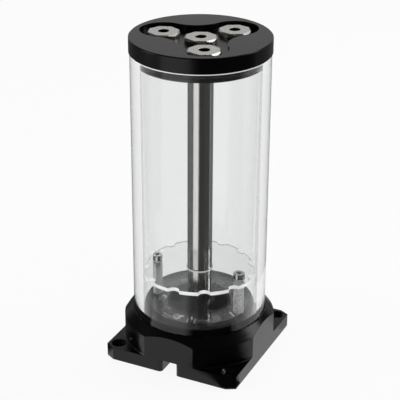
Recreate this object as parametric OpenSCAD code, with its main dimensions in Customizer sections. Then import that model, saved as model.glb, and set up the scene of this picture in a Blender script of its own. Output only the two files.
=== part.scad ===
// Tube reservoir that stands on a coolant pump: a square flanged base, a glass tube with a
// lid, a riser pipe, a baffle disc on two standoffs and a lit window in the floor.
// Millimetres. +Z is up, the origin is the middle of the base's underside, and the cable
// slot faces -Y.

/* [Tube] */
// Outside diameter of the glass tube
tube_od = 70; // [64:0.5:80]
// Wall of the glass tube
tube_wall = 5; // [4:0.25:6]
// Length of the glass tube
tube_l = 150; // [90:5:250]
// Thickness of the flat gasket under the tube
gasket_t = 0.6; // [0.4:0.1:1.5]
// Section of the O-rings that seal the tube at the base and at the lid
tube_seal = 2; // [1.5:0.1:2.4]

/* [Base] */
// Thickness of the square mounting plate
plate_t = 7.2; // [6:0.2:10]
// Wall of the base between the tube's bore and the plate's flat sides
flat_wall = 2.35; // [1.5:0.05:6]
// Wall of the round collar at the plate's corners
collar_wall = 4.85; // [3:0.05:6]
// Height of the collar's upright wall above the plate
collar_h = 11.6; // [6:0.2:20]
// Radius where the collar meets the plate
collar_root = 0.8; // [0.3:0.1:1.2]
// Width of the thin land round the tube at the top of the collar's cone
collar_lip = 0.3; // [0.2:0.05:1]
// Length of each corner cut along the front and back edges
corner_cut_x = 4.8; // [1:0.2:6]
// Length of each corner cut along the left and right edges
corner_cut_y = 2.6; // [1:0.2:6]
// Distance of the mounting holes from the plate's edges
hole_inset = 5.5; // [5:0.1:6]
// Diameter of the four mounting holes
hole_d = 4.4; // [3.2:0.1:5]
// Diameter of their countersinks at the plate's top
sink_d = 7.8; // [6:0.1:8.4]
// Width of the cable slot in the front edge
slot_w = 8; // [6.8:0.2:10]
// Radius at the two sides of the slot's mouth
slot_round = 2; // [0.5:0.25:4]
// Width that the plate keeps between the slot and the pump opening
slot_wall = 1.3; // [0.8:0.1:2]

/* [Port block] */
// Thickness of the block's flange, which carries the tube
flange_t = 7.2; // [6.8:0.2:12]
// Height of the block's plug inside the tube, above the flange
plug_h = 12.8; // [11:0.2:20]
// Wall between the riser's socket and the two kidney ports
hub_wall = 1.75; // [1.3:0.05:3]
// Radial width of the kidney ports
kidney_w = 7.2; // [5:0.2:8]
// Half of the angle that each kidney port spans
kidney_half = 44; // [30:1:60]
// Rib between the kidney ports and the window
window_rib = 0.9; // [0.8:0.1:2]
// Depth of the riser's socket below the reservoir's floor
socket_h = 8; // [5:0.5:9]
// Radius of the return passage below the riser
return_r = 5.2; // [3:0.1:5.4]
// Height of the pump nose's face above the underside of the plate
nose_recess = 0.3; // [0.1:0.1:1]
// Wall inside the groove in the pump nose's face
nose_inner_wall = 0.7; // [0.5:0.1:2]
// Wall outside the groove in the pump nose's face
nose_outer_wall = 0.8; // [0.5:0.1:2]
// Section of the O-ring that seals against the pump
face_seal = 1.5; // [1:0.1:2]
// Height of the tube's O-ring groove above the flange
seal_lift = 3.6; // [2:0.2:6]
// Room beside the tube's O-rings in their grooves
seal_room = 0.4; // [0.2:0.1:0.8]

/* [Block screws] */
// Radius of the circle on which the four screws lie
screw_place = 29; // [26:0.5:31]
// Thread diameter of the screws
screw_d = 3; // [2.5:0.5:4]
// Diameter of the screws' heads
screw_head_d = 5.5; // [4.5:0.1:7]
// Height of the screws' heads
screw_head_h = 3; // [2:0.1:4]
// Length of the screws under the head
screw_l = 8; // [6:0.5:9]
// Depth of the heads' tops inside the plate
screw_sunk = 0.4; // [0.2:0.1:1]

/* [Window and light ring] */
// Rim of metal between the window and the block's side
window_rim = 3.4; // [3:0.1:5]
// Thickness of the clear window
window_t = 1.5; // [1:0.1:3]
// Width of the two ledges on which the window sits
ledge_w = 0.8; // [0.5:0.1:1.2]
// Room between the circuit board and the window
board_room = 1.4; // [1.3:0.1:4]
// Thickness of the circuit board
board_t = 1.2; // [0.8:0.1:2]
// Number of lamps on the board
lamp_count = 6; // [4:1:8]
// Side of each square lamp
lamp_w = 3.5; // [2:0.5:4]
// Height of each lamp
lamp_h = 1.1; // [0.6:0.1:1.2]
// Diameter of the cup in each lamp
lamp_cup_d = 2.8; // [1.2:0.1:3]
// Distance of the lamps' circle inside the middle of the board
lamp_in = 0.8; // [0:0.1:1]
// Direction of the first lamp
lamp_turn = 20; // [15:1:25]
// Length of the two driver chips
chip_l = 4.2; // [2:0.1:4.6]
// Width of the driver chips
chip_w = 3; // [2:0.1:4]
// Length of the resistors
resistor_l = 2.4; // [1:0.1:3]
// Width of the resistors
resistor_w = 1.2; // [0.6:0.1:1.6]
// Height of the chips and resistors
chip_h = 0.9; // [0.4:0.1:1.2]
// Diameter of the bush in the lead's hole
bush_d = 4; // [3:0.2:5]
// Bore of the bush
bush_bore_d = 2.2; // [1:0.2:2.4]
// Length of the bush above the plate
bush_l = 9; // [5:0.5:11]
// Thickness of the bush's flange in the slot
bush_flange_t = 0.8; // [0.5:0.1:1.5]
// Width of the bush's flange beyond its body
bush_flange_w = 1; // [0.5:0.1:1.2]
// Distance of the bush's axis from the axis of the slot's round end
bush_in = 0.6; // [0:0.1:1]

/* [Riser pipe] */
// Outside diameter of the riser pipe
riser_od = 13; // [11:0.5:15]
// Wall of the riser pipe
riser_wall = 1; // [0.6:0.1:1.2]
// Section of the riser's O-rings
riser_seal = 1; // [0.6:0.1:1]
// Distance of each riser O-ring from its socket's mouth
riser_seal_in = 3; // [1.5:0.5:4]

/* [Baffle] */
// Thickness of the clear baffle disc
baffle_t = 2; // [1:0.1:4]
// Gap between the disc and the tube
baffle_gap = 0.8; // [0.4:0.1:2]
// Gap between the disc and the riser pipe
baffle_bore_gap = 0.5; // [0.3:0.1:3]
// Number of round notches in the disc's edge
notch_count = 12; // [6:2:16]
// Radius of each notch
notch_r = 3; // [2:0.1:3.4]
// Depth of each notch from the disc's edge
notch_depth = 2.4; // [1:0.1:3]
// Length of the standoffs
standoff_l = 17.9; // [10:0.1:40]
// Width of the standoffs across their flats
standoff_af = 5; // [4.5:0.1:6]
// Distance of the standoffs' axes from the window's outer edge
standoff_in = 2.4; // [2.3:0.1:3.5]
// Angle by which the standoffs lie in front of the reservoir's middle
standoff_turn = 9.6; // [0:0.2:12]
// Clock angle at which the left standoff was tightened
left_hex_turn = 34; // [0:1:59]
// Clock angle at which the right standoff was tightened
right_hex_turn = 57; // [0:1:59]
// Thread diameter of the standoffs' studs and the baffle screws
stud_d = 3; // [2:0.5:3]
// Length of the studs in the port block
stud_grip = 6; // [3:0.5:7]
// Diameter of the baffle screws' heads
cap_d = 5.5; // [4:0.1:6]
// Height of the baffle screws' heads
cap_h = 3; // [2:0.1:4]
// Width across the flats of the sockets in both kinds of screws
cap_socket_af = 2.5; // [1.5:0.5:2.5]
// Length of the baffle screws under the head
cap_l = 8; // [5:0.5:10]

/* [Lid] */
// Overhang of the lid beyond the tube
lid_over = 0.5; // [0:0.1:2]
// Thickness of the lid above the tube
lid_t = 8; // [7:0.5:14]
// Chamfer on the lid's edges
lid_chamfer = 0.4; // [0.2:0.1:1]
// Height of the lid's plug inside the tube
lid_plug_h = 5.6; // [5:0.2:10]
// Depth of the three-lobed recess in the lid's top
recess_h = 3.2; // [2.6:0.1:4]
// Radius of each lobe of the recess
lobe_r = 12; // [10:0.2:13.5]
// Distance from the middle to the nearest point of the recess's wall
valley_reach = 16; // [13:0.5:18]
// Wall between the outer ports and the lid's O-ring groove
port_rim = 0.9; // [0.8:0.1:3]
// Depth of the middle port
port_h = 6.8; // [6.6:0.1:8]
// Radius of the passage between the middle port and the riser's socket
passage_r = 5; // [3:0.2:5.2]
// Length of that passage
passage_h = 3; // [1:0.5:5]
// Depth of the riser's socket in the lid
lid_socket_h = 7; // [5:0.5:12]
// Wall of the boss round that socket
boss_wall = 3; // [1.5:0.1:5]

/* [Port plugs] */
// Diameter of the plugs' heads
head_d = 16.4; // [16.2:0.1:18]
// Height of the plugs' heads
head_h = 2.45; // [2:0.05:4]
// Width across the flats of the eight-sided top
head_top_af = 14.6; // [13:0.1:16]
// Thread diameter of the plugs
thread_d = 13; // [11:0.1:13.2]
// Length of the plugs' threads
thread_l = 6.3; // [5:0.1:6.5]
// Width across the flats of the plugs' sockets
hex_af = 5; // [4:0.5:6]
// Depth of the plugs' sockets
hex_h = 4; // [2:0.2:4.5]
// Depth of the chamfer at the sockets' mouths
hex_chamfer = 0.4; // [0.2:0.1:0.6]
// Chamfer at the threads' ends
thread_chamfer = 0.6; // [0.3:0.1:1]
// Radius of the hollow in each plug's lower end
plug_hollow_r = 4.6; // [3:0.2:5]
// Depth of that hollow
plug_hollow_h = 2.6; // [1:0.2:3]
// Section of the plugs' O-rings
plug_seal = 1.2; // [0.8:0.1:1.2]

/* [Clearances] */
// Radial gap of the tube and the port block in the base
bore_gap = 0.15; // [0.1:0.05:0.4]
// Radial gap of the block's plug and the lid's plug in the tube
plug_gap = 0.2; // [0.1:0.05:0.4]
// Gap round pipes, screws, studs and O-rings in their seats
slip = 0.05; // [0.03:0.01:0.1]
// Radial gap of a port plug's thread in its port
thread_gap = 0.08; // [0.05:0.01:0.1]
// Gap between a port plug's head and the floor of the recess
head_gap = 0.1; // [0.05:0.05:0.3]
// Gap between a screw's end and the bottom of its hole
end_gap = 1; // [0.5:0.1:1.2]
// Gap between the riser pipe's ends and the bottoms of its sockets
riser_gap = 0.3; // [0.1:0.1:1]

/* [Hidden] */
$fn = 96;
// How far a cutting shape runs past the face that it cuts
cut = 1;
// How far two arcs that meet smoothly lap, so that they cross and don't just touch
arc_lap = 0.01;

tube_r = tube_od / 2;
tube_in_r = tube_r - tube_wall;
bore_r = tube_r + bore_gap;
plug_r = tube_in_r - plug_gap;
riser_r = riser_od / 2;
riser_in_r = riser_r - riser_wall;

plate_w = 2 * (bore_r + flat_wall);
collar_r = bore_r + collar_wall;
lip_r = bore_r + collar_lip;
hole_place = plate_w / 2 - hole_inset;

flange_z = plate_t + flange_t;
tube_z = flange_z + gasket_t;
tube_top_z = tube_z + tube_l;
floor_z = flange_z + plug_h;
collar_z = plate_t + collar_h;

seal_groove_w = tube_seal + seal_room;
seal_groove_r = tube_in_r - tube_seal - 2 * slip;
block_seal_z = flange_z + seal_lift;

kidney_in_r = riser_r + slip + hub_wall;
kidney_out_r = kidney_in_r + kidney_w;
window_in_r = kidney_out_r + window_rib;
window_out_r = plug_r - window_rim;
board_z = floor_z - window_t - board_room - board_t;
board_in_r = window_in_r + ledge_w;
board_out_r = window_out_r - ledge_w;
lamp_place = (board_in_r + board_out_r) / 2 - lamp_in;

face_groove_in_r = kidney_out_r + nose_inner_wall;
face_groove_out_r = face_groove_in_r + face_seal + 2 * slip;
nose_r = face_groove_out_r + nose_outer_wall;
nose_open_r = nose_r + bore_gap;

slot_end_y = -(nose_open_r + slot_wall + slot_w / 2);
bush_y = slot_end_y + bush_in;
bush_flange_r = bush_d / 2 + bush_flange_w;

screw_head_z = screw_sunk + screw_head_h;

socket_z = floor_z - socket_h;
riser_z = socket_z + riser_gap;

standoff_place = window_out_r - standoff_in;
baffle_z = floor_z + standoff_l;
baffle_r = tube_in_r - baffle_gap;
baffle_bore_r = riser_r + baffle_bore_gap;
stud_z = board_z - stud_grip;

lid_r = tube_r + lid_over;
lid_z = tube_top_z + lid_t;
recess_z = lid_z - recess_h;
lid_plug_z = tube_top_z - lid_plug_h;
lid_seal_z = lid_plug_z + (lid_plug_h - seal_groove_w) / 2;
passage_z = recess_z - port_h - passage_h;
boss_z = passage_z - lid_socket_h;
boss_r = riser_r + slip + boss_wall;
riser_top_z = passage_z - riser_gap;

thread_r = thread_d / 2;
port_r = thread_r + thread_gap;
port_place = seal_groove_r - port_rim - port_r;
head_z = recess_z + head_gap;
head_groove_h = plug_seal;

// The directions of the three outer ports
left_turn = 180;
rear_turn = 60;
front_turn = -60;
// The clock angles at which each plug's socket and its eight-sided top came to rest
centre_clock = [25, 23];
left_clock = [10, 20];
rear_clock = [40, 30];
front_clock = [-5, 27];

// ---- shared shapes ----

// A round band between two radii, from height z upwards
module band(r_in, r_out, z, h) {
    translate([0, 0, z]) rotate_extrude() translate([r_in, 0]) square([r_out - r_in, h]);
}

// An O-ring whose inner edge lies at r_in, resting at height z
module oring(r_in, section, z) {
    translate([0, 0, z]) rotate_extrude()
        translate([r_in + section / 2, section / 2]) circle(d = section);
}

// A six-sided prism, measured across its flats
module hex(af, h) {
    cylinder(d = af / cos(30), h = h, $fn = 6);
}

// Copies the child at the two standoffs' places
module at_standoff(side) {
    rotate([0, 0, side < 0 ? 180 + standoff_turn : -standoff_turn])
        translate([standoff_place, 0, 0]) children();
}

module at_standoffs() {
    for (side = [-1, 1]) at_standoff(side) children();
}

module at_block_screws() {
    for (a = [45 : 90 : 315]) rotate([0, 0, a]) translate([screw_place, 0, 0]) children();
}

// ---- base ----

module plate_outline() {
    half = plate_w / 2;
    polygon([for (c = [[1, 1], [-1, 1], [-1, -1], [1, -1]]) each let (
        along_x = [c.x * (half - corner_cut_x), c.y * half],
        along_y = [c.x * half, c.y * (half - corner_cut_y)]
    ) c.x * c.y > 0 ? [along_y, along_x] : [along_x, along_y]]);
}

// Collar with its cone and the small radius at its root, before it is trimmed square
module collar_round() {
    rotate_extrude() difference() {
        polygon([[0, 0], [collar_r + collar_root, 0],
            [collar_r + collar_root, plate_t + collar_root],
            [collar_r, plate_t + collar_root], [collar_r, collar_z],
            [lip_r, collar_z + collar_r - lip_r], [0, collar_z + collar_r - lip_r]]);
        translate([collar_r + collar_root, plate_t + collar_root]) circle(r = collar_root);
    }
}

// Cable slot, open below and at the front, with its mouth flared by two radii
module slot_outline() {
    front = -plate_w / 2;
    translate([0, slot_end_y]) circle(d = slot_w);
    translate([-slot_w / 2, front - cut]) square([slot_w, slot_end_y - front + cut]);
    difference() {
        translate([-slot_w / 2 - slot_round, front - cut])
            square([slot_w + 2 * slot_round, slot_round + cut]);
        for (side = [-1, 1])
            translate([side * (slot_w / 2 + slot_round), front + slot_round])
                circle(r = slot_round);
    }
}

module base_frame() {
    color("#3a3b3c") difference() {
        union() {
            linear_extrude(plate_t) plate_outline();
            intersection() {
                collar_round();
                linear_extrude(collar_z + collar_wall) square(plate_w, center = true);
            }
        }
        translate([0, 0, plate_t]) cylinder(r = bore_r, h = collar_h + collar_wall);
        translate([0, 0, -cut]) cylinder(r = nose_open_r, h = plate_t + 2 * cut);
        translate([0, 0, -cut]) linear_extrude(plate_t + cut) slot_outline();
        for (x = [-1, 1], y = [-1, 1]) translate([x * hole_place, y * hole_place, 0]) {
            translate([0, 0, -cut]) cylinder(d = hole_d, h = plate_t + 2 * cut);
            translate([0, 0, plate_t - (sink_d - hole_d) / 2])
                cylinder(d1 = hole_d, d2 = sink_d + 2 * cut, h = (sink_d - hole_d) / 2 + cut);
        }
        at_block_screws() {
            translate([0, 0, -cut]) cylinder(r = screw_d / 2 + slip, h = plate_t + 2 * cut);
            translate([0, 0, -cut])
                cylinder(r = screw_head_d / 2 + bore_gap, h = screw_head_z + cut);
        }
    }
}

// ---- port block ----

// A ring sector with round ends
module kidney_outline() {
    middle = (kidney_in_r + kidney_out_r) / 2;
    end_turn = kidney_half - asin(kidney_w / 2 / middle);
    reach = 2 * kidney_out_r;
    intersection() {
        difference() {
            circle(r = kidney_out_r);
            circle(r = kidney_in_r);
        }
        polygon([[0, 0], reach * [cos(end_turn), -sin(end_turn)],
            reach * [cos(end_turn), sin(end_turn)]]);
    }
    for (side = [-1, 1]) rotate(side * end_turn)
        translate([middle, 0]) circle(r = kidney_w / 2 + arc_lap);
}

module port_block() {
    color("#6b6e70") difference() {
        rotate_extrude() polygon([[0, nose_recess], [nose_r, nose_recess],
            [nose_r, plate_t], [tube_r, plate_t], [tube_r, flange_z],
            [plug_r, flange_z], [plug_r, floor_z], [0, floor_z]]);
        // Riser socket with its O-ring groove, and the return passage below it
        translate([0, 0, socket_z]) cylinder(r = riser_r + slip, h = socket_h + cut);
        band(riser_r, riser_r + riser_seal + 2 * slip,
            floor_z - riser_seal_in - riser_seal - slip, riser_seal + 2 * slip);
        cylinder(r = return_r, h = socket_z + cut);
        for (a = [0, 180]) rotate([0, 0, a])
            linear_extrude(floor_z + cut) kidney_outline();
        // Window seat, and the room below it for the board
        band(window_in_r, window_out_r, floor_z - window_t, window_t + cut);
        band(board_in_r, board_out_r, board_z, floor_z - board_z);
        // Grooves for the tube's O-ring and for the O-ring against the pump
        band(seal_groove_r, plug_r + cut, block_seal_z, seal_groove_w);
        band(face_groove_in_r, face_groove_out_r, nose_recess - cut, face_seal + cut);
        at_standoffs() translate([0, 0, stud_z - end_gap])
            cylinder(r = stud_d / 2 + slip, h = stud_grip + end_gap + cut);
        at_block_screws() translate([0, 0, plate_t - cut])
            cylinder(r = screw_d / 2 + slip,
                h = screw_head_z + screw_l - plate_t + end_gap + cut);
        translate([0, bush_y, plate_t - cut])
            cylinder(r = bush_d / 2 + slip, h = board_z - plate_t + 2 * cut);
    }
}

module socket_screw(head_d, head_h, thread, length) {
    difference() {
        union() {
            translate([0, 0, -length]) cylinder(d = thread, h = length);
            cylinder(d = head_d, h = head_h);
        }
        translate([0, 0, head_h / 2]) hex(cap_socket_af, head_h);
    }
}

module block_screws() {
    color("#26282a") at_block_screws() translate([0, 0, screw_head_z])
        mirror([0, 0, 1]) socket_screw(screw_head_d, screw_head_h, screw_d, screw_l);
}

// ---- seals ----

module pump_face_oring() {
    color("#141516") oring(face_groove_in_r + slip, face_seal, nose_recess - 4 * slip);
}

module tube_gasket() {
    color("#1b1c1e") band(tube_in_r, tube_r, flange_z, gasket_t);
}

module tube_lower_oring() {
    color("#141516") oring(seal_groove_r + slip, tube_seal,
        block_seal_z + (seal_groove_w - tube_seal) / 2);
}

module lid_oring() {
    color("#141516") oring(seal_groove_r + slip, tube_seal,
        lid_seal_z + (seal_groove_w - tube_seal) / 2);
}

module riser_lower_oring() {
    color("#141516") oring(riser_r + slip, riser_seal, floor_z - riser_seal_in - riser_seal);
}

module riser_upper_oring() {
    color("#141516") oring(riser_r + slip, riser_seal, boss_z + riser_seal_in);
}

// ---- tube, window and light ring ----

module glass_tube() {
    color([0.85, 0.92, 0.9, 0.35]) band(tube_in_r, tube_r, tube_z, tube_l);
}

module window_ring() {
    color([0.8, 0.85, 0.88, 0.5]) difference() {
        band(window_in_r + slip, window_out_r - slip, floor_z - window_t, window_t);
        at_standoffs() translate([0, 0, floor_z - window_t - cut])
            cylinder(r = stud_d / 2 + slip, h = window_t + 2 * cut);
    }
}

module led_board() {
    color("#3f4644") difference() {
        band(board_in_r + bore_gap, board_out_r - bore_gap, board_z, board_t);
        at_standoffs() translate([0, 0, board_z - cut])
            cylinder(r = stud_d / 2 + bore_gap, h = board_t + 2 * cut);
    }
}

// Square lamps, each with a round cup for its lens
module leds() {
    color("#e8d9a0") for (i = [0 : lamp_count - 1])
        rotate([0, 0, lamp_turn + i * 360 / lamp_count])
            translate([lamp_place, 0, board_z + board_t]) difference() {
                translate([-lamp_w / 2, -lamp_w / 2, 0]) cube([lamp_w, lamp_w, lamp_h]);
                translate([0, 0, lamp_h / 2]) cylinder(d = lamp_cup_d, h = lamp_h);
            }
}

// A part of the circuit, lying across the ring in the given direction
module on_board(turn, part_l, part_w) {
    rotate([0, 0, turn]) translate([lamp_place - part_l / 2, -part_w / 2, board_z + board_t])
        cube([part_l, part_w, chip_h]);
}

// Two driver chips and six resistors
module board_parts() {
    color("#1e2022") {
        for (turn = [-76, 110]) on_board(turn, chip_l, chip_w);
        for (turn = [-52, -28, 50, 170, 218, 236]) on_board(turn, resistor_l, resistor_w);
    }
}

module lead_bush() {
    color("#1b1c1e") translate([0, bush_y, plate_t]) difference() {
        union() {
            cylinder(d = bush_d, h = bush_l);
            translate([0, 0, -bush_flange_t]) cylinder(r = bush_flange_r, h = bush_flange_t);
        }
        translate([0, 0, -bush_flange_t - cut])
            cylinder(d = bush_bore_d, h = bush_l + bush_flange_t + 2 * cut);
    }
}

// ---- riser and baffle ----

module riser_pipe() {
    color("#a9aaa8") band(riser_in_r, riser_r, riser_z, riser_top_z - riser_z);
}

module baffle_disc() {
    color([0.9, 0.93, 0.93, 0.4]) translate([0, 0, baffle_z]) linear_extrude(baffle_t)
        difference() {
            circle(r = baffle_r);
            circle(r = baffle_bore_r);
            for (i = [0 : notch_count - 1]) rotate(i * 360 / notch_count)
                translate([baffle_r + notch_r - notch_depth, 0]) circle(r = notch_r);
            for (side = [-1, 1]) rotate(side < 0 ? 180 + standoff_turn : -standoff_turn)
                translate([standoff_place, 0]) circle(r = stud_d / 2 + slip);
        }
}

// Six-sided post with a stud below and a threaded hole above
module standoff(hex_turn) {
    translate([0, 0, floor_z]) difference() {
        union() {
            rotate([0, 0, hex_turn]) hex(standoff_af, standoff_l);
            translate([0, 0, stud_z - floor_z]) cylinder(d = stud_d, h = floor_z - stud_z);
        }
        translate([0, 0, standoff_l - cap_l + baffle_t - end_gap])
            cylinder(r = stud_d / 2 + slip, h = cap_l + end_gap);
    }
}

module standoff_left() {
    color("#c4c5c3") at_standoff(-1) standoff(left_hex_turn);
}

module standoff_right() {
    color("#c4c5c3") at_standoff(1) standoff(right_hex_turn);
}

module baffle_screw() {
    translate([0, 0, baffle_z + baffle_t]) socket_screw(cap_d, cap_h, stud_d, cap_l);
}

module baffle_screw_left() {
    color("#8f9192") at_standoff(-1) baffle_screw();
}

module baffle_screw_right() {
    color("#8f9192") at_standoff(1) baffle_screw();
}

// ---- lid ----

// Three lobes joined by three valleys. Each valley's arc is worked out to touch both its
// lobes, on the sides of the star that runs through all the circles' centres.
module recess_outline() {
    a = port_place;
    v = valley_reach;
    valley_r = (v * v + a * a - a * v - lobe_r * lobe_r) / (a + 2 * lobe_r - 2 * v);
    valley_place = v + valley_r;
    difference() {
        union() {
            for (turn = [left_turn, rear_turn, front_turn]) rotate(turn)
                translate([a, 0]) circle(r = lobe_r);
            polygon([for (i = [0 : 2]) each let (lobe = rear_turn + i * 120) [
                a * [cos(lobe), sin(lobe)],
                valley_place * [cos(lobe + 60), sin(lobe + 60)]
            ]]);
        }
        for (turn = [0, 120, 240]) rotate(turn)
            translate([valley_place, 0]) circle(r = valley_r + arc_lap);
    }
}

module lid() {
    c = lid_chamfer;
    color("#4b4c4d") difference() {
        rotate_extrude() polygon([[0, boss_z], [boss_r, boss_z], [boss_r, lid_plug_z],
            [plug_r - c, lid_plug_z], [plug_r, lid_plug_z + c], [plug_r, tube_top_z],
            [lid_r - c, tube_top_z], [lid_r, tube_top_z + c], [lid_r, lid_z - c],
            [lid_r - c, lid_z], [0, lid_z]]);
        translate([0, 0, recess_z]) linear_extrude(recess_h + cut) recess_outline();
        band(seal_groove_r, plug_r + cut, lid_seal_z, seal_groove_w);
        for (turn = [left_turn, rear_turn, front_turn]) rotate([0, 0, turn])
            translate([port_place, 0, lid_plug_z - cut])
                cylinder(r = port_r, h = recess_z - lid_plug_z + 2 * cut);
        translate([0, 0, recess_z - port_h]) cylinder(r = port_r, h = port_h + cut);
        translate([0, 0, passage_z - cut]) cylinder(r = passage_r, h = passage_h + 2 * cut);
        translate([0, 0, boss_z - cut]) cylinder(r = riser_r + slip, h = lid_socket_h + cut);
        band(riser_r, riser_r + riser_seal + 2 * slip, boss_z + riser_seal_in - slip,
            riser_seal + 2 * slip);
    }
}

// ---- port plugs ----

// Flat-topped head with eight sloping faces, a key socket and a hollow thread
module port_plug(clock) {
    c = thread_chamfer;
    translate([0, 0, head_z]) difference() {
        rotate_extrude() polygon([[0, -thread_l], [thread_r - c, -thread_l],
            [thread_r, -thread_l + c], [thread_r, head_groove_h],
            [thread_r + plug_seal + 3 * slip, head_groove_h],
            [thread_r + plug_seal + 3 * slip, 0], [head_d / 2, 0],
            [head_d / 2, head_h], [0, head_h]]);
        for (i = [0 : 7]) rotate([0, 0, clock[1] + i * 45])
            translate([head_top_af / 2, 0, head_h]) rotate([0, 45, 0])
                translate([-head_d, -head_d, 0]) cube(2 * head_d);
        translate([0, 0, head_h - hex_h]) rotate([0, 0, clock[0]]) hex(hex_af, hex_h + cut);
        translate([0, 0, head_h - hex_chamfer])
            cylinder(d1 = hex_af, d2 = hex_af + 2 * (hex_chamfer + cut), h = hex_chamfer + cut);
        translate([0, 0, -thread_l - cut])
            cylinder(r = plug_hollow_r, h = plug_hollow_h + cut);
    }
}

module port_oring() {
    oring(thread_r + 2 * slip, plug_seal, recess_z + slip);
}

module at_port(turn) {
    rotate([0, 0, turn]) translate([port_place, 0, 0]) rotate([0, 0, -turn]) children();
}

module plug_centre() {
    color("#b9b8b4") port_plug(centre_clock);
}

module plug_left() {
    color("#b9b8b4") at_port(left_turn) port_plug(left_clock);
}

module plug_rear() {
    color("#b9b8b4") at_port(rear_turn) port_plug(rear_clock);
}

module plug_front() {
    color("#b9b8b4") at_port(front_turn) port_plug(front_clock);
}

module plug_centre_oring() {
    color("#141516") port_oring();
}

module plug_left_oring() {
    color("#141516") at_port(left_turn) port_oring();
}

module plug_rear_oring() {
    color("#141516") at_port(rear_turn) port_oring();
}

module plug_front_oring() {
    color("#141516") at_port(front_turn) port_oring();
}

base_frame();
port_block();
block_screws();
pump_face_oring();
tube_gasket();
tube_lower_oring();
glass_tube();
window_ring();
led_board();
leds();
board_parts();
lead_bush();
riser_pipe();
riser_lower_oring();
riser_upper_oring();
baffle_disc();
standoff_left();
standoff_right();
baffle_screw_left();
baffle_screw_right();
lid();
lid_oring();
plug_centre();
plug_left();
plug_rear();
plug_front();
plug_centre_oring();
plug_left_oring();
plug_rear_oring();
plug_front_oring();
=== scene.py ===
# %% [markdown]
# # A tube reservoir for a coolant pump
# The real thing is a glass tube between a black base and a black lid. Coolant comes back
# from the pump through a steel pipe in the middle, settles below a clear baffle and leaves
# through two kidney-shaped ports in the floor. A ring of lamps shines up through a window.
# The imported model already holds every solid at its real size, so this lesson dresses it:
# finishes first, then the small things that are too fine for the construction.

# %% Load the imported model
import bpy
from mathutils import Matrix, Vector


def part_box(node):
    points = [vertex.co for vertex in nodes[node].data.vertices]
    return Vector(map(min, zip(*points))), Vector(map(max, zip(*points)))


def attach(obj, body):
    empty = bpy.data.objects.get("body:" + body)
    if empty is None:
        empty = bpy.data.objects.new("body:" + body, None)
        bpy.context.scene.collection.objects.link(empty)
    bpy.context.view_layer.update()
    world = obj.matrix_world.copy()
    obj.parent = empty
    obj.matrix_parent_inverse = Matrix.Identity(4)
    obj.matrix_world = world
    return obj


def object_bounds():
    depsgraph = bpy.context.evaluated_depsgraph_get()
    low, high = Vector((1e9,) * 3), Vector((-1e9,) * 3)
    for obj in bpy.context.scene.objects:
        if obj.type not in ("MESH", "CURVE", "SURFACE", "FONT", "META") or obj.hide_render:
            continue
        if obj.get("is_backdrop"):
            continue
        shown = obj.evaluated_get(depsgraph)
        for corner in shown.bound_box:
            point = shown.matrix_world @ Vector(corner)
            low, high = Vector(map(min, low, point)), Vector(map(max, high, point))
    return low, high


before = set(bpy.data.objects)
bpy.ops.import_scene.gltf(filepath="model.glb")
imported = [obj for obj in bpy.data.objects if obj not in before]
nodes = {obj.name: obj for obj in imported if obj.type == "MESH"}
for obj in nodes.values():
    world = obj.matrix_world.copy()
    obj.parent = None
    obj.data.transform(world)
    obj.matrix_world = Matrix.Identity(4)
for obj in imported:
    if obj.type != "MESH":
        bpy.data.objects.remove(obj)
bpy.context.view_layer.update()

import math

import bmesh
import bpy
from mathutils import Matrix, Vector

MM = 0.001

# %% [markdown]
# ## Sizes from the model
# Nothing here repeats a size that the model can tell. Each box is read from the packed
# solids, so a piece stays in its seat when the model is packed again with another size.

# %% Read the sizes
board_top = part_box("led_board")[1].z
board_out_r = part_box("led_board")[1].x
tube_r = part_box("glass_tube")[1].x
tube_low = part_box("glass_tube")[0].z
tube_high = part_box("glass_tube")[1].z
lid_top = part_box("lid")[1].z
print(f"tube {2 * tube_r / MM:.1f} mm across, {(tube_high - tube_low) / MM:.1f} mm long")

# %% [markdown]
# ## The camera
# A long lens from well above the lid's edge, as a catalogue would show it. The camera is
# placed by three plain facts: how far it is turned round the reservoir, how far it is
# raised, and its distance. Its axes are then built from those by cross products.

# %% Place the camera
camera_turn = math.radians(25.36)
camera_rise = math.radians(25.3)
camera_roll = math.radians(0.3)
camera_distance = 0.6422
focal_length = 111.87
aim = Vector((0, 0, 0.0843))

back = Vector((math.sin(camera_turn) * math.cos(camera_rise),
               -math.cos(camera_turn) * math.cos(camera_rise), math.sin(camera_rise)))
right = Vector((math.cos(camera_turn), math.sin(camera_turn), 0))
up = back.cross(right)
axes = Matrix((right, up, back)).transposed().to_4x4()

camera = bpy.data.objects.new("camera", bpy.data.cameras.new("camera"))
camera.data.lens = focal_length
camera.data.sensor_width = 36
camera.matrix_world = (Matrix.Translation(aim + back * camera_distance) @ axes
                       @ Matrix.Rotation(camera_roll, 4, "Z"))
bpy.context.scene.collection.objects.link(camera)
bpy.context.scene.camera = camera
bpy.context.scene.view_settings.view_transform = "Standard"
print("camera at", [round(c, 3) for c in camera.matrix_world.translation])
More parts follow.
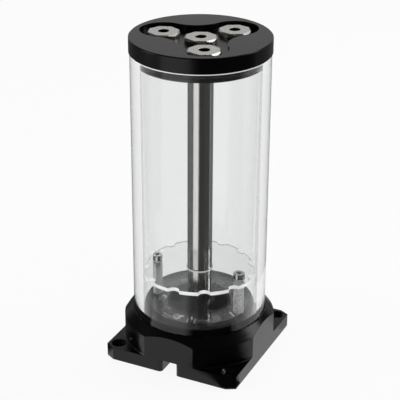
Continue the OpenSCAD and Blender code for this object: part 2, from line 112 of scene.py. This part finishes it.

# %% [markdown]
# ## Shader maths as plain sums
# Blender's shaders are graphs of boxes, and a sum such as `1 - mask * 0.3` takes three of
# them. The class below wraps one output socket, so that Python's own signs add the boxes.
# Adding, subtracting and multiplying also have their reflected forms, for the sums that start
# with a plain number.

# %% The socket class
class Wire:
    def __init__(self, finish, socket):
        self.finish, self.socket = finish, socket

    def __add__(self, other):
        return self.finish.sum("ADD", self, other)

    def __sub__(self, other):
        return self.finish.sum("SUBTRACT", self, other)

    def __rsub__(self, other):
        return self.finish.sum("SUBTRACT", other, self)

    def __mul__(self, other):
        return self.finish.sum("MULTIPLY", self, other)

    def __truediv__(self, other):
        return self.finish.sum("DIVIDE", self, other)

    def __pow__(self, other):
        return self.finish.sum("POWER", self, other)

    def __gt__(self, other):
        return self.finish.sum("GREATER_THAN", self, other)

    def __lt__(self, other):
        return self.finish.sum("LESS_THAN", self, other)

    __radd__ = __add__
    __rmul__ = __mul__


# %% [markdown]
# A finish is one material. Its `box` method adds any node: the type, the settings, then the
# values or wires of its sockets, by name or by number. The settings are made first, because
# they can change which sockets a node has.

# %% The finish class
class Finish:
    def __init__(self, name, owner=None):
        self.material = owner or bpy.data.materials.new(name)
        self.material.use_nodes = True
        self.tree = self.material.node_tree
        self.tree.nodes.clear()

    def box(self, kind, settings=None, sockets=None, output=0):
        node = self.tree.nodes.new("ShaderNode" + kind)
        for name, value in (settings or {}).items():
            setattr(node, name, value)
        for key, value in (sockets or {}).items():
            socket = node.inputs[key]
            if isinstance(value, Wire):
                self.tree.links.new(value.socket, socket)
            else:
                socket.default_value = value
        if len(node.outputs):
            return Wire(self, node.outputs[output])

    def sum(self, operation, *values):
        return self.box("Math", {"operation": operation}, dict(enumerate(values)))

    def place(self):
        return self.box("TexCoord", output="Object")

    def grain(self, scale, detail=2.0, stretch=(1, 1, 1)):
        place = self.box("Mapping", None, {"Vector": self.place(), "Scale": stretch})
        return self.box("TexNoise", None, {"Vector": place, "Scale": scale,
                                           "Detail": detail})

    def blend(self, factor, first, second):
        return self.box("Mix", {"data_type": "RGBA"},
                        {"Factor": factor, "A": first, "B": second}, "Result")

    def parts(self, vector=None):
        first = self.box("SeparateXYZ", None, {"Vector": vector or self.place()})
        return [Wire(self, socket) for socket in first.socket.node.outputs]

    def soft_edge(self, radius):
        return self.box("Bevel", {"samples": 6}, {"Radius": radius})

    def relief(self, height, distance, strength=1.0, normal=None):
        sockets = {"Height": height, "Distance": distance, "Strength": strength}
        if normal:
            sockets["Normal"] = normal
        return self.box("Bump", None, sockets)

    def surface(self, **sockets):
        named = {key.replace("_", " "): value for key, value in sockets.items()}
        shader = self.box("BsdfPrincipled", None, named)
        self.box("OutputMaterial", None, {"Surface": shader})
        return self.material


def colour(red, green, blue):
    return (red, green, blue, 1.0)


# %% [markdown]
# ## The studio
# The background is pure white: the floor and the world glow at a strength of 1 for what the
# camera sees, for reflections and for what shows through the glass. For plain diffuse light
# both are ordinary, so the floor still takes the reservoir's shadow. A studio would use a
# sweep of white paper. A flat sheet and a white world do the same here with four corners.

# %% White floor and white world
def new_mesh(name, vertices, faces):
    mesh = bpy.data.meshes.new(name)
    mesh.from_pydata(vertices, [], faces)
    mesh.update()
    piece = bpy.data.objects.new(name, mesh)
    bpy.context.scene.collection.objects.link(piece)
    return piece


def seen_directly(finish):
    """1 for camera, glossy and transmission rays, else 0"""
    def ray(kind):
        return finish.box("LightPath", output=kind)
    seen = ray("Is Camera Ray") + ray("Is Glossy Ray") + ray("Is Transmission Ray")
    return seen > 0.5


floor_size = 3.0
floor_below = 0.1 * MM
floor = new_mesh("studio_floor",
                 [(x * floor_size, y * floor_size, -floor_below)
                  for x, y in ((-1, -1), (1, -1), (1, 1), (-1, 1))], [(0, 1, 2, 3)])
white_floor = Finish("white_floor")
paper = white_floor.box("BsdfDiffuse", None, {"Color": colour(0.9, 0.9, 0.9)})
white = white_floor.box("Emission", None, {"Color": colour(1, 1, 1), "Strength": 1.0})
floor_glow = 0.9
white_floor.box("OutputMaterial", None, {"Surface": white_floor.box(
    "MixShader", None, {"Fac": seen_directly(white_floor) * floor_glow, 1: paper, 2: white})})
floor.data.materials.append(white_floor.material)
floor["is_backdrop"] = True

bpy.context.scene.world = bpy.data.worlds.new("white_world")
sky = Finish("white_world", bpy.context.scene.world)
ambient = 0.5
sky.box("OutputWorld", None, {"Surface": sky.box("Background", None, {
    "Color": colour(1, 1, 1),
    "Strength": seen_directly(sky) * (1 - ambient) + ambient})})
print("floor", 2 * floor_size, "m wide, world at", ambient, "for diffuse light")

# %% [markdown]
# ## Lamps
# Polished metal is only as good as what it mirrors. Three softboxes give it highlights: a low
# one on the left, a tall one on the right, and one behind and above that draws the lid's top.
# Point lamps would be simpler, but they leave hard dots on metal and glass.

# %% Softboxes
def at_bearing(turn, rise, distance):
    """A point round the reservoir: turn in degrees to the right of the camera"""
    angle = math.radians(turn) + camera_turn - math.pi / 2
    level = math.cos(math.radians(rise)) * distance
    return Vector((math.cos(angle) * level, math.sin(angle) * level,
                   math.sin(math.radians(rise)) * distance))


def face(piece, target):
    piece.rotation_mode = "QUATERNION"
    piece.rotation_quaternion = (Vector(target) - piece.location).to_track_quat("-Z", "Y")


middle = Vector((0, 0, lid_top / 2))


def softbox(name, turn, rise, distance, width, height, power):
    lamp = bpy.data.objects.new(name, bpy.data.lights.new(name, "AREA"))
    lamp.data.shape = "RECTANGLE"
    lamp.data.size, lamp.data.size_y = width, height
    lamp.data.energy = power
    lamp.location = middle + at_bearing(turn, rise, distance)
    face(lamp, middle)
    bpy.context.scene.collection.objects.link(lamp)
    return lamp


softbox("left_softbox", -84, 6, 0.9, 0.4, 0.3, 3.2)
softbox("right_softbox", 100, 30, 0.9, 0.3, 0.6, 2.0)
softbox("top_softbox", 160, 62, 1.0, 0.6, 0.4, 1.9)
print(len(bpy.data.lights), "softboxes")

# %% [markdown]
# ## Cards
# Studios shape reflections with cards of black and grey board. These lie flat round
# the reservoir or stand as a wall and a ceiling, and only reflections see them. They draw the
# dark bands down the steel pipe and keep the black parts black. A real studio has one set of
# cards for everything. Here each also says which reflections it is for, by how many glass
# surfaces the ray has passed, because one set can't suit the base, the tube's own wall and the
# pipe within. That is a shortcut, and it holds for this object's four glass surfaces only.

# %% What a card answers to
some_glass, all_glass = 0.5, 3.5


def mirrored(finish, kind):
    """Which rays a card is there for: "all" reflections, those from "inside" the tube, those
    in its own "wall", the "bare" ones that meet no glass, or "outside", all but the wall's"""
    reflected = finish.box("LightPath", output="Glossy Depth") > 0.5
    crossed = finish.box("LightPath", output="Transmission Depth")
    if kind == "inside":
        return reflected * (crossed > all_glass)
    if kind == "wall":
        return reflected * (crossed > some_glass) * (crossed < all_glass)
    if kind == "bare":
        return reflected * (crossed < some_glass)
    if kind == "outside":
        return reflected * (1 - (crossed > some_glass) * (crossed < all_glass))
    return reflected


# %% [markdown]
# A card is a profile swept round the table, with its ends faded out so that no edge shows in
# the metal. Its fade is worked out from the angle between a point and the card's middle.

# %% One card
def card(name, turns, profile, shade, kind="all", fade=4):
    """A profile of (distance, height) points, swept between two turns, with faded ends"""
    middle_turn, half = (turns[0] + turns[1]) / 2, (turns[1] - turns[0]) / 2 + fade / 2
    steps = 24
    ring = []
    for distance, height in profile:
        for i in range(steps + 1):
            spot = at_bearing(middle_turn + half * (i / steps * 2 - 1), 0, distance)
            ring.append((spot.x, spot.y, height))
    faces = [(row + i, row + i + 1, row + steps + 2 + i, row + steps + 1 + i)
             for row in range(0, (len(profile) - 1) * (steps + 1), steps + 1)
             for i in range(steps)]
    piece = new_mesh(name, ring, faces)
    finish = Finish(name)
    x, y, z = finish.parts()
    ahead = at_bearing(middle_turn, 0, 1)
    turned_by = finish.sum("ARCCOSINE", (x * ahead.x + y * ahead.y) / (x * x + y * y) ** 0.5)
    inside = finish.sum("MINIMUM", (half - turned_by * (180 / math.pi)) / fade, 1)
    board = finish.box("Emission", None, {"Color": colour(shade, shade, shade)})
    finish.box("OutputMaterial", None, {"Surface": finish.box(
        "MixShader", None, {"Fac": mirrored(finish, kind) * inside,
                            1: finish.box("BsdfTransparent"), 2: board})})
    piece.data.materials.append(finish.material)
    for way in ("camera", "diffuse", "shadow", "volume_scatter"):
        setattr(piece, "visible_" + way, False)
    piece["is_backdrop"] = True
    return piece

# %% [markdown]
# Flat cards lie a fraction of a millimetre above each other, so that the upper one wins. The
# distances are metres from the reservoir's axis, and the shades run from 0 to 1.

# %% Lay out the cards
table_end, wall_r, wall_high = 2.2, 2.3, 1.6


def flat(near, far, layer=1):
    """The profile of a card that lies on the table, in one of five layers"""
    height = 0.001 + (layer - 1) * 0.0002
    return [(near, height), (far, height)]


def wall(distance):
    return [(distance, 0.001), (distance, wall_high)]


card("dark_front", (-15, 48), flat(0.048, table_end, 0), 0.03, "outside", 12)
card("dark_right", (38, 95), flat(0.115, table_end), 0.04, "outside")
card("near_right", (46, 170), flat(0.02, 0.115, 2), 0.06, "inside")
card("near_corner", (100, 170), flat(0.04, 0.1, 3), 0.65, "bare")
card("grey_side", (95, 170), flat(0.1, table_end), 0.165, "outside")
card("dark_left", (-175, -63), flat(0.1, table_end), 0.1, "outside")
card("near_left", (-175, -60), flat(0.02, 0.1, 2), 0.1, "inside")
card("left_shade", (-175, -72), flat(0.04, 0.1, 3), 0.05, "bare")
card("veil_front", (-10, 75), flat(0.03, table_end, 4), 0.34, "wall", 16)
card("veil_left", (-80, -10), flat(0.03, table_end, 4), 0.43, "wall", 16)
card("bright_wall", (140, 220), wall(wall_r), 0.55, "outside", 20)
card("dim_wall", (-180, 180), wall(wall_r + 0.02), 0.05, "outside")
card("dark_ceiling", (-180, 180), [(wall_r, wall_high), (1.2, 2.2), (0.01, 2.3)], 0.04)

# %% [markdown]
# ## Black anodised metal
# Lid, base and port block are turned and milled from aluminium and then anodised: the metal
# is dyed black under a thin clear layer of oxide. So the colour is nearly black and even,
# and all that shows is a satin gloss. It is built as a dark dielectric with a fine grain in
# its roughness, and its edges are broken by a fine radius that catches the light.

# %% Anodised finishes
def anodised(name, shade, gloss, lathe_marks=None, edge=0.25 * MM, bend=1.38):
    finish = Finish(name)
    grain = finish.grain(900.0, 3.0)
    cloud = finish.grain(60.0, 2.0)
    height = grain * 0.6
    if lathe_marks:
        height = height + lathe_marks(finish)
    shine = finish.relief(height, 0.00002, 0.6, finish.soft_edge(edge))
    tone = finish.blend(cloud, colour(*[c * 0.8 for c in shade]),
                        colour(*[c * 1.25 for c in shade]))
    return finish.surface(Base_Color=tone, Roughness=grain * 0.1 + (gloss - 0.05),
                          IOR=bend, Normal=shine)


def turned_rings(pitch):
    """Rings that a lathe's tool leaves: a wave along the radius and the height"""
    def rings(finish):
        x, y, z = finish.parts()
        radius = (x * x + y * y) ** 0.5
        wave = finish.sum("SINE", (radius + z * 0.7) * (2 * math.pi / pitch))
        return wave * 0.5
    return rings


black_base = anodised("black_anodised_base", (0.0012, 0.0012, 0.0013), 0.22,
                      turned_rings(0.6 * MM))
black_lid = anodised("black_anodised_lid", (0.0012, 0.0012, 0.0013), 0.24)
black_block = anodised("black_anodised_block", (0.002, 0.002, 0.0021), 0.1, bend=1.28)
print("black finishes:", black_base.name, black_lid.name, black_block.name)

# %% [markdown]
# ## Bright metals
# The riser is a drawn steel pipe with fine marks along its length, the standoffs are bright
# turned steel, their screws are polished, and the port plugs are nickel plated with a satin
# face. One function makes them all: a metal's colour is its reflection, and the marks go into
# its relief. The standoffs are partly a plain bright colour, because the cards would turn a
# full mirror of this size nearly black.

# %% Metal finishes
even = (1, 1, 1)


def bright_metal(name, tone, gloss, stretch, marks, edge=0.2 * MM, depth=0.008 * MM,
                 socket=None, metal=1.0):
    """socket gives the part that is down in a key socket, which gets painted shade"""
    finish = Finish(name)
    streaks = finish.grain(marks, 4.0, stretch=stretch)
    smudge = finish.grain(45.0, 2.0)
    base = finish.blend(streaks, colour(*[c * 0.88 for c in tone]),
                        colour(*[min(c * 1.1, 1) for c in tone]))
    shine = finish.relief(streaks, depth, 0.5, finish.soft_edge(edge))
    if socket:
        # painted shade: the socket's dark colour stands in for the light that doesn't come out
        # of it
        base = finish.blend(socket(finish), base, colour(0.03, 0.028, 0.025))
    return finish.surface(Base_Color=base, Metallic=metal, Normal=shine,
                          Roughness=streaks * 0.1 + smudge * 0.06 + gloss)


steel_pipe = bright_metal("brushed_steel_pipe", (0.84, 0.83, 0.81), 0.07, (1, 1, 0.03),
                          2200.0)
polished = bright_metal("polished_steel", (0.74, 0.73, 0.71), 0.03, (1, 1, 0.3), 900.0)
standoff_steel = bright_metal("standoff_steel", (0.95, 0.94, 0.92), 0.2, even, 1500.0,
                              metal=0.4)
blackened = bright_metal("blackened_steel", (0.05, 0.05, 0.052), 0.35, even, 900.0)
print("steels:", steel_pipe.name, polished.name, standoff_steel.name, blackened.name)

# %% [markdown]
# ## Key sockets in the plugs
# A deep narrow socket is dark because light that enters it hardly comes out. A renderer finds
# that by itself only with many bounces, so the plugs' colour is darkened within a radius of
# each axis and below the mouth. Every plug needs a finish of its own, for its own axis.

# %% Nickel with dark sockets
def in_socket(axis, radius, mouth):
    """The part nearer to an upright axis than a radius, and deeper than the mouth"""
    def inside(finish):
        x, y, z = finish.parts()
        off = ((x - axis[0]) * (x - axis[0]) + (y - axis[1]) * (y - axis[1])) ** 0.5
        return (off < radius) * (z < mouth)
    return inside


plug_axes = {}
for port in ("centre", "left", "rear", "front"):
    low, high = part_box("plug_" + port)
    plug_axes[port] = (low + high) / 2
plug_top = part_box("plug_centre")[1].z
socket_r, mouth = 3.2 * MM, plug_top - 0.15 * MM
nickel = {port: bright_metal(f"satin_nickel_{port}", (0.71, 0.69, 0.66), 0.2, even,
                             1500.0, socket=in_socket(axis, socket_r, mouth))
          for port, axis in plug_axes.items()}
print("nickel for", sorted(nickel))

# %% [markdown]
# ## Glass and clear acrylic
# Both are Principled surfaces with full transmission, told apart by how they bend light.
# The tube has the faint green of borosilicate. The baffle's faces are as clear as the sheet
# that it was cut from, but its cut edge has a fine frosting, and it shows as a white line that
# is partly a painted highlight. The edge is found by the direction of the surface: the faces
# look up or down.
# The frosting could be the same all round. Here only the part of the baffle's edge that faces
# the camera's bearing has it, with a painted glow, which is a shortcut: from behind it looks
# uneven. The tube's ground end has a weaker painted glow.

# %% Clear finishes
frost_and_glow_share = 0.8


def clear(name, tint, bend, frost_and_painted_glow=None, painted_edge_glow=0.0):
    """Glass or acrylic. The mask argument gives the part of its surface that is ground or sawn,
    and that part also gets a painted glow of the strength given last.
    """
    finish = Finish(name)
    wave = finish.grain(30.0, 1.0)
    glass = finish.box("BsdfPrincipled", None, {
        "Base Color": colour(*tint), "Transmission Weight": 1.0, "IOR": bend,
        "Specular IOR Level": 0.3, "Roughness": wave * 0.01})
    if not frost_and_painted_glow:
        finish.box("OutputMaterial", None, {"Surface": glass})
        return finish.material
    edge = frost_and_painted_glow(finish)
    # white frosting on the ground part, with an emission that is a painted glow
    frost_with_painted_glow = finish.box("BsdfPrincipled", None, {
        "Base Color": colour(0.95, 0.96, 0.96), "Roughness": 0.4,
        "Emission Color": colour(1, 1, 1), "Emission Strength": painted_edge_glow})
    finish.box("OutputMaterial", None, {"Surface": finish.box(
        "MixShader", None, {"Fac": edge * frost_and_glow_share, 1: glass, 2: frost_with_painted_glow})})
    return finish.material


def painted_lit_edges(finish):
    """The part of the sheet's cut edge that faces the camera's bearing: it alone gets the
    frosting and a painted glow, a painted highlight on that side
    """
    across, along, upward = finish.parts(finish.box("NewGeometry", output="Normal"))
    painted_side = at_bearing(0, 0, 1)
    return ((finish.sum("ABSOLUTE", upward) < 0.5)
            * (across * painted_side.x + along * painted_side.y > 0.3))


def ground_rim_painted_glow(finish):
    """The tube's end, ground and slightly rough, which also gets a painted glow"""
    height = finish.parts()[2]
    return height > tube_high - 0.5 * MM


# the last numbers are the strength of the painted glow on the tube's rim and on the baffle's
# edge
tube_glass = clear("tube_glass", (0.94, 0.95, 0.945), 1.474, ground_rim_painted_glow, 0.3)
baffle_acrylic = clear("baffle_acrylic", (0.985, 0.99, 0.99), 1.49, painted_lit_edges, 0.5)
window_acrylic = clear("window_acrylic", (0.9, 0.91, 0.91), 1.49)
print("clear:", tube_glass.name, baffle_acrylic.name, window_acrylic.name)

# %% [markdown]
# ## Rubber, circuit board and lamps
# Rubber is black and nearly without gloss. The board's lacquer is a dark grey green with
# brighter copper under it, and each lamp is a white plastic box with a pale lens. One function
# serves them all, since they differ in colour, gloss and the size of their grain only. Solder
# and gilding get a faint painted glow, in place of the light that the window would gather on
# them.

# %% Small finishes
def plain(name, dark, light, gloss, scale=300.0, bump=0.02 * MM, **more):
    finish = Finish(name)
    grain = finish.grain(scale, 3.0)
    return finish.surface(Base_Color=finish.blend(grain, colour(*dark), colour(*light)),
                          Roughness=grain * 0.15 + gloss,
                          Normal=finish.relief(grain, bump, 0.5), **more)


rubber = plain("seal_rubber", (0.006, 0.006, 0.006), (0.014, 0.014, 0.014), 0.5)
bush_plastic = plain("bush_plastic", (0.012, 0.012, 0.012), (0.02, 0.02, 0.02), 0.4)
lacquer = plain("circuit_lacquer", (0.035, 0.04, 0.038), (0.06, 0.066, 0.062), 0.25, 500.0)
copper_lacquer = plain("lacquered_copper", (0.11, 0.12, 0.115), (0.17, 0.18, 0.172), 0.2,
                       700.0)
# painted glow on solder and gilding, in place of light gathered through the window
painted_window_light = {"Emission_Color": colour(1, 0.98, 0.94), "Emission_Strength": 0.3}
gilded = plain("gilded_copper", (0.82, 0.78, 0.66), (0.92, 0.88, 0.76), 0.12, 900.0,
               Metallic=0.5, **painted_window_light)
solder = plain("solder", (0.74, 0.74, 0.72), (0.88, 0.88, 0.86), 0.2, 900.0, Metallic=0.5,
               **painted_window_light)
chip_resin = plain("chip_resin", (0.012, 0.012, 0.013), (0.022, 0.022, 0.024), 0.4, 1200.0)
lamp_body = plain("lamp_body", (0.6, 0.6, 0.57), (0.72, 0.72, 0.68), 0.35, 900.0)
phosphor = plain("lamp_phosphor", (0.4, 0.38, 0.3), (0.5, 0.48, 0.38), 0.3, 900.0)
print(len(bpy.data.materials), "materials in the file")

# %% [markdown]
# ## Dressing the solids
# Each solid of the model now gets its finish. Solids that share one, such as the O-rings, are
# picked by how their names start or end, and the rest come from a table.

# %% Dress the solids
def dress(name, material):
    piece = nodes[name]
    if not piece.material_slots:
        piece.data.materials.append(material)
    for holder in piece.material_slots:
        holder.material = material


for name in nodes:
    if name.endswith("oring") or name == "tube_gasket":
        dress(name, rubber)
    if name.startswith("plug_") and not name.endswith("oring"):
        dress(name, nickel[name[5:]])
    if name.startswith("standoff_"):
        dress(name, standoff_steel)
    if name.startswith("baffle_screw_"):
        dress(name, polished)
for name, material in {"base_frame": black_base, "port_block": black_block,
                       "lid": black_lid, "block_screws": blackened,
                       "glass_tube": tube_glass, "baffle_disc": baffle_acrylic,
                       "window_ring": window_acrylic, "riser_pipe": steel_pipe,
                       "led_board": lacquer, "leds": lamp_body,
                       "board_parts": chip_resin, "lead_bush": bush_plastic}.items():
    dress(name, material)
print("dressed", len(nodes), "solids")

# %% [markdown]
# ## Skins over rings of points
# The fine pieces are all of one kind: a run of closed rings, skinned with faces and capped
# at both ends. A thread, a bent wire, a lamp's lens and a copper track differ only in where
# their rings lie. Several such skins can share one object.

# %% Skins
def skin(rings, closed=False):
    """Faces between rings of equal length, as (points, faces)"""
    count = len(rings[0])
    points = [point for ring in rings for point in ring]
    runs = len(rings) if closed else len(rings) - 1
    faces = []
    for i in range(runs):
        here, there = i * count, (i + 1) % len(rings) * count
        faces += [(here + k, here + (k + 1) % count, there + (k + 1) % count, there + k)
                  for k in range(count)]
    if not closed:
        faces += [tuple(range(count))[::-1], tuple(range(len(points) - count, len(points)))]
    return points, faces


# %% [markdown]
# `make` joins skins into one object. It turns the faces outward, since a ring that runs the
# other way would give an inside-out skin, and it says which body the piece rides on.

# %% Make one piece
def make(name, skins, material, body="reservoir"):
    """One object out of several skins, on its body and with its slot"""
    points, faces = [], []
    for more_points, more_faces in skins:
        faces += [tuple(len(points) + k for k in face) for face in more_faces]
        points += more_points
    piece = new_mesh(name, points, faces)
    shell = bmesh.new()
    shell.from_mesh(piece.data)
    bmesh.ops.recalc_face_normals(shell, faces=shell.faces)
    shell.to_mesh(piece.data)
    shell.free()
    piece.data.shade_smooth()
    piece.data.materials.append(material)
    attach(piece, body)
    print(name, len(points), "points")
    return piece


# %% [markdown]
# Two kinds of skin serve most pieces: a profile turned about an upright axis, and a round
# wire that follows a path.

# %% Turned pieces and wires
def lathed(profile, centre, around=24):
    """A solid of revolution about an upright axis, from (radius, height) pairs"""
    rings = [[(centre[0] + radius * math.cos(turn), centre[1] + radius * math.sin(turn), height)
              for turn in (math.tau * k / around for k in range(around))]
             for radius, height in profile]
    return skin(rings)


def bent_wire(path, radius, around=8, closed=False):
    """A round wire along a path"""
    rings = []
    for i, point in enumerate(path):
        before = path[i - 1] if i or closed else point
        after = path[(i + 1) % len(path)] if i < len(path) - 1 or closed else point
        along = (Vector(after) - Vector(before)).normalized()
        side = along.orthogonal() if abs(along.z) > 0.9 else along.cross((0, 0, 1))
        side.normalize()
        over = side.cross(along)
        rings.append([tuple(Vector(point) + side * (radius * math.cos(turn))
                            + over * (radius * math.sin(turn)))
                      for turn in (math.tau * k / around for k in range(around))])
    return skin(rings, closed)


def polar(radius, degrees, height):
    turn = math.radians(degrees)
    return (radius * math.cos(turn), radius * math.sin(turn), height)

# %% [markdown]
# ## Threads on the port plugs
# A pipe thread is rolled or cut as a helix. In the construction each shank is a plain
# cylinder, so the ridge of the helix is laid on it here, with its two ends run out. A screw
# modifier could sweep it too, but not thin out its ends. The ridge stays inside the clearance
# of the port and goes with its plug when that unscrews.

# %% Cut the threads
thinnest = 0.05
foot, flat_top = 0.36, 0.08


def thread(axis, root, crest, low, high, pitch, per_turn=32):
    """A ridge along a helix. foot and flat_top are half widths, as shares of the pitch."""
    steps = int((high - low) / pitch * per_turn)
    rings = []
    for i in range(steps + 1):
        height = low + (high - low) * i / steps
        turn = math.tau * i / per_turn
        run_out = min(1, i / per_turn * 2, (steps - i) / per_turn * 2)
        tip = root + (crest - root) * max(run_out, thinnest)
        rings.append([(axis[0] + radius * math.cos(turn), axis[1] + radius * math.sin(turn),
                       height + lift)
                      for radius, lift in ((root, -pitch * foot), (tip, -pitch * flat_top),
                                           (tip, pitch * flat_top), (root, pitch * foot))])
    return skin(rings)


thread_pitch = 1.337 * MM
shank_r = 6.5 * MM
sunk, raised = 0.04 * MM, 0.06 * MM
below, above = 1.1 * MM, 3.2 * MM
for port, axis in plug_axes.items():
    low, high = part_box("plug_" + port)
    make(f"plug_{port}_thread",
         [thread(axis, shank_r - sunk, shank_r + raised, low.z + below, high.z - above,
                 thread_pitch)],
         nickel[port], f"{port}_plug")

# %% [markdown]
# ## The light ring's board
# Below the window lies a ring-shaped circuit board. Its copper is etched and stands a hair
# above the board, so each track is a thin flat strip along an arc, and each plated hole is a
# low dot. They could be drawn in the board's material, but real strips catch the light along
# their edges. Where the tracks and dots lie is a guess. Some dots are hidden under parts or
# lie past the board's inner edge.

# %% Copper tracks and pads
def flat_arc(radius, first, last, width, height=0.05 * MM):
    """A flat strip along an arc round the board"""
    rings = []
    for i in range(17):
        degrees = first + (last - first) * i / 16
        rings.append([polar(radius + side * width / 2, degrees, board_top + lift)
                      for side, lift in ((-1, 0.01 * MM), (1, 0.01 * MM),
                                         (1, height), (-1, height))])
    return skin(rings)


def dot(x, y, radius, height=0.12 * MM):
    return lathed([(radius, board_top + 0.01 * MM), (radius, board_top + height * 0.6),
                   (radius * 0.6, board_top + height)], (x, y), 12)


board_in_r = 17.6 * MM
track_step, track_width = 0.8 * MM, 0.35 * MM
tracks = [flat_arc(board_in_r + step * track_step, first, last, track_width)
          for step, first, last in ((1, -44, -16), (1.7, -46, -12), (9, -112, -60),
                                    (8.3, -108, -64), (9, 96, 150), (8.2, 100, 146),
                                    (1, 206, 232), (1.8, 204, 234), (9, 190, 224),
                                    (8.3, 192, 222), (9, 28, 70), (1.2, 62, 104))]
tracks += [flat_arc(board_in_r + 4.2 * MM, -43, -29, 5.2 * MM)]
rows = (((-13.5, -16.9), (1.1, -0.8), 5), ((-8.7, -14.5), (-1.2, 0.5), 3),
        ((-10.3, -21.8), (1.3, -0.4), 3), ((-7.5, -20.5), (1.1, -0.5), 3),
        ((8.4, -18.6), (1.2, 0.7), 4), ((12.2, 16.4), (-1.2, 0.8), 4))
dots = []
for (x, y), (along_x, along_y), count in rows:
    dots += [dot((x + along_x * i) * MM, (y + along_y * i) * MM, 0.3 * MM)
             for i in range(count)]
make("board_tracks", tracks, copper_lacquer)
make("board_dots", dots, solder)

# %% [markdown]
# ## Small parts on the board
# Chips have bent pins on both long sides. Each pin is a wire that leaves the chip level, bends
# down and lies flat on the board.

# %% Chip pins
def pins(degrees, count, along, across):
    """The pins of a chip that lies across the ring, as long and as wide as given in mm"""
    wires = []
    outward = Vector(polar(1, degrees, 0))
    aside = Vector((-outward.y, outward.x, 0))
    middle_r = (board_in_r + board_out_r) / 2 - 0.8 * MM
    bends = ((across / 2 - 0.1, 0.5), (across / 2 + 0.25, 0.5),
             (across / 2 + 0.35, 0.14), (across / 2 + 0.75, 0.14))
    for i in range(count):
        place = outward * (middle_r + along * MM * ((i + 0.5) / count - 0.5))
        for side in (-1, 1):
            wires.append(bent_wire([tuple(place + aside * (side * reach * MM)
                                          + Vector((0, 0, board_top + lift * MM)))
                                    for reach, lift in bends], 0.13 * MM, 6))
    return wires


make("chip_pins", pins(-76, 4, 3.6, 3) + pins(110, 4, 3.6, 3), solder)

# %% [markdown]
# Each of the six lamps gets a lens: a low dome turned from four rings.

# %% Lamp lenses
lens_r = 1.3 * MM
lens_place = (board_in_r + board_out_r) / 2 - 0.85 * MM
dome = ((1, 0.56), (1, 0.8), (0.8, 0.98), (0.4, 1.08))
lenses = [lathed([(lens_r * share, board_top + lift * MM) for share, lift in dome],
                 polar(lens_place, 20 + 60 * k, 0)) for k in range(6)]
make("lamp_lenses", lenses, phosphor)

# %% [markdown]
# The lead ends in a gilded eyelet: a closed ring of round wire with a short tab. Clips and
# solder tails are bent wires too. Their points are in millimetres, the last one above the
# board. They were placed one by one, and the eyelet and most clips run into the lamp or chip
# beside them, so their points want moving before these pieces are used elsewhere.

# %% Eyelet and clips
def on_board(path):
    return [(x * MM, y * MM, board_top + z * MM) for x, y, z in path]


eyelet_r, eyelet_x, eyelet_y = 1.5, -2.6, -20.8
eyelet = [polar(eyelet_r, 15 * k, 0) for k in range(24)]
eyelet = on_board([(x + eyelet_x, y + eyelet_y, 0.75) for x, y, z in eyelet])
tab = on_board([(-1.6, -19.6, 0.75), (-1.0, -18.6, 0.7), (-0.4, -18.1, 0.3)])
make("lead_eyelet", [bent_wire(eyelet, 0.42 * MM, 10, closed=True), bent_wire(tab, 0.5 * MM)],
     gilded)

clips = [[(-18.0, -6.4, 0.4), (-17.9, -4.4, 0.9), (-19.6, -4.0, 0.9), (-20.4, -4.2, 0.4)],
         [(4.0, -18.4, 0.4), (4.4, -18.0, 0.9), (4.6, -19.2, 0.9)],
         [(19.4, -4.6, 0.4), (20.1, -5.2, 1.0), (21.4, -6.6, 1.0), (22.8, -7.3, 0.5)],
         [(4.9, -18.6, 0.35), (5.3, -19.8, 0.8), (5.2, -21.6, 0.35)]]
make("solder_clips", [bent_wire(on_board(path), 0.38 * MM) for path in clips], solder)

# %% Print the visual box and finish
low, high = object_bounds()
print("visual box", [round(v / MM, 2) for v in (*low, *high)], "mm")
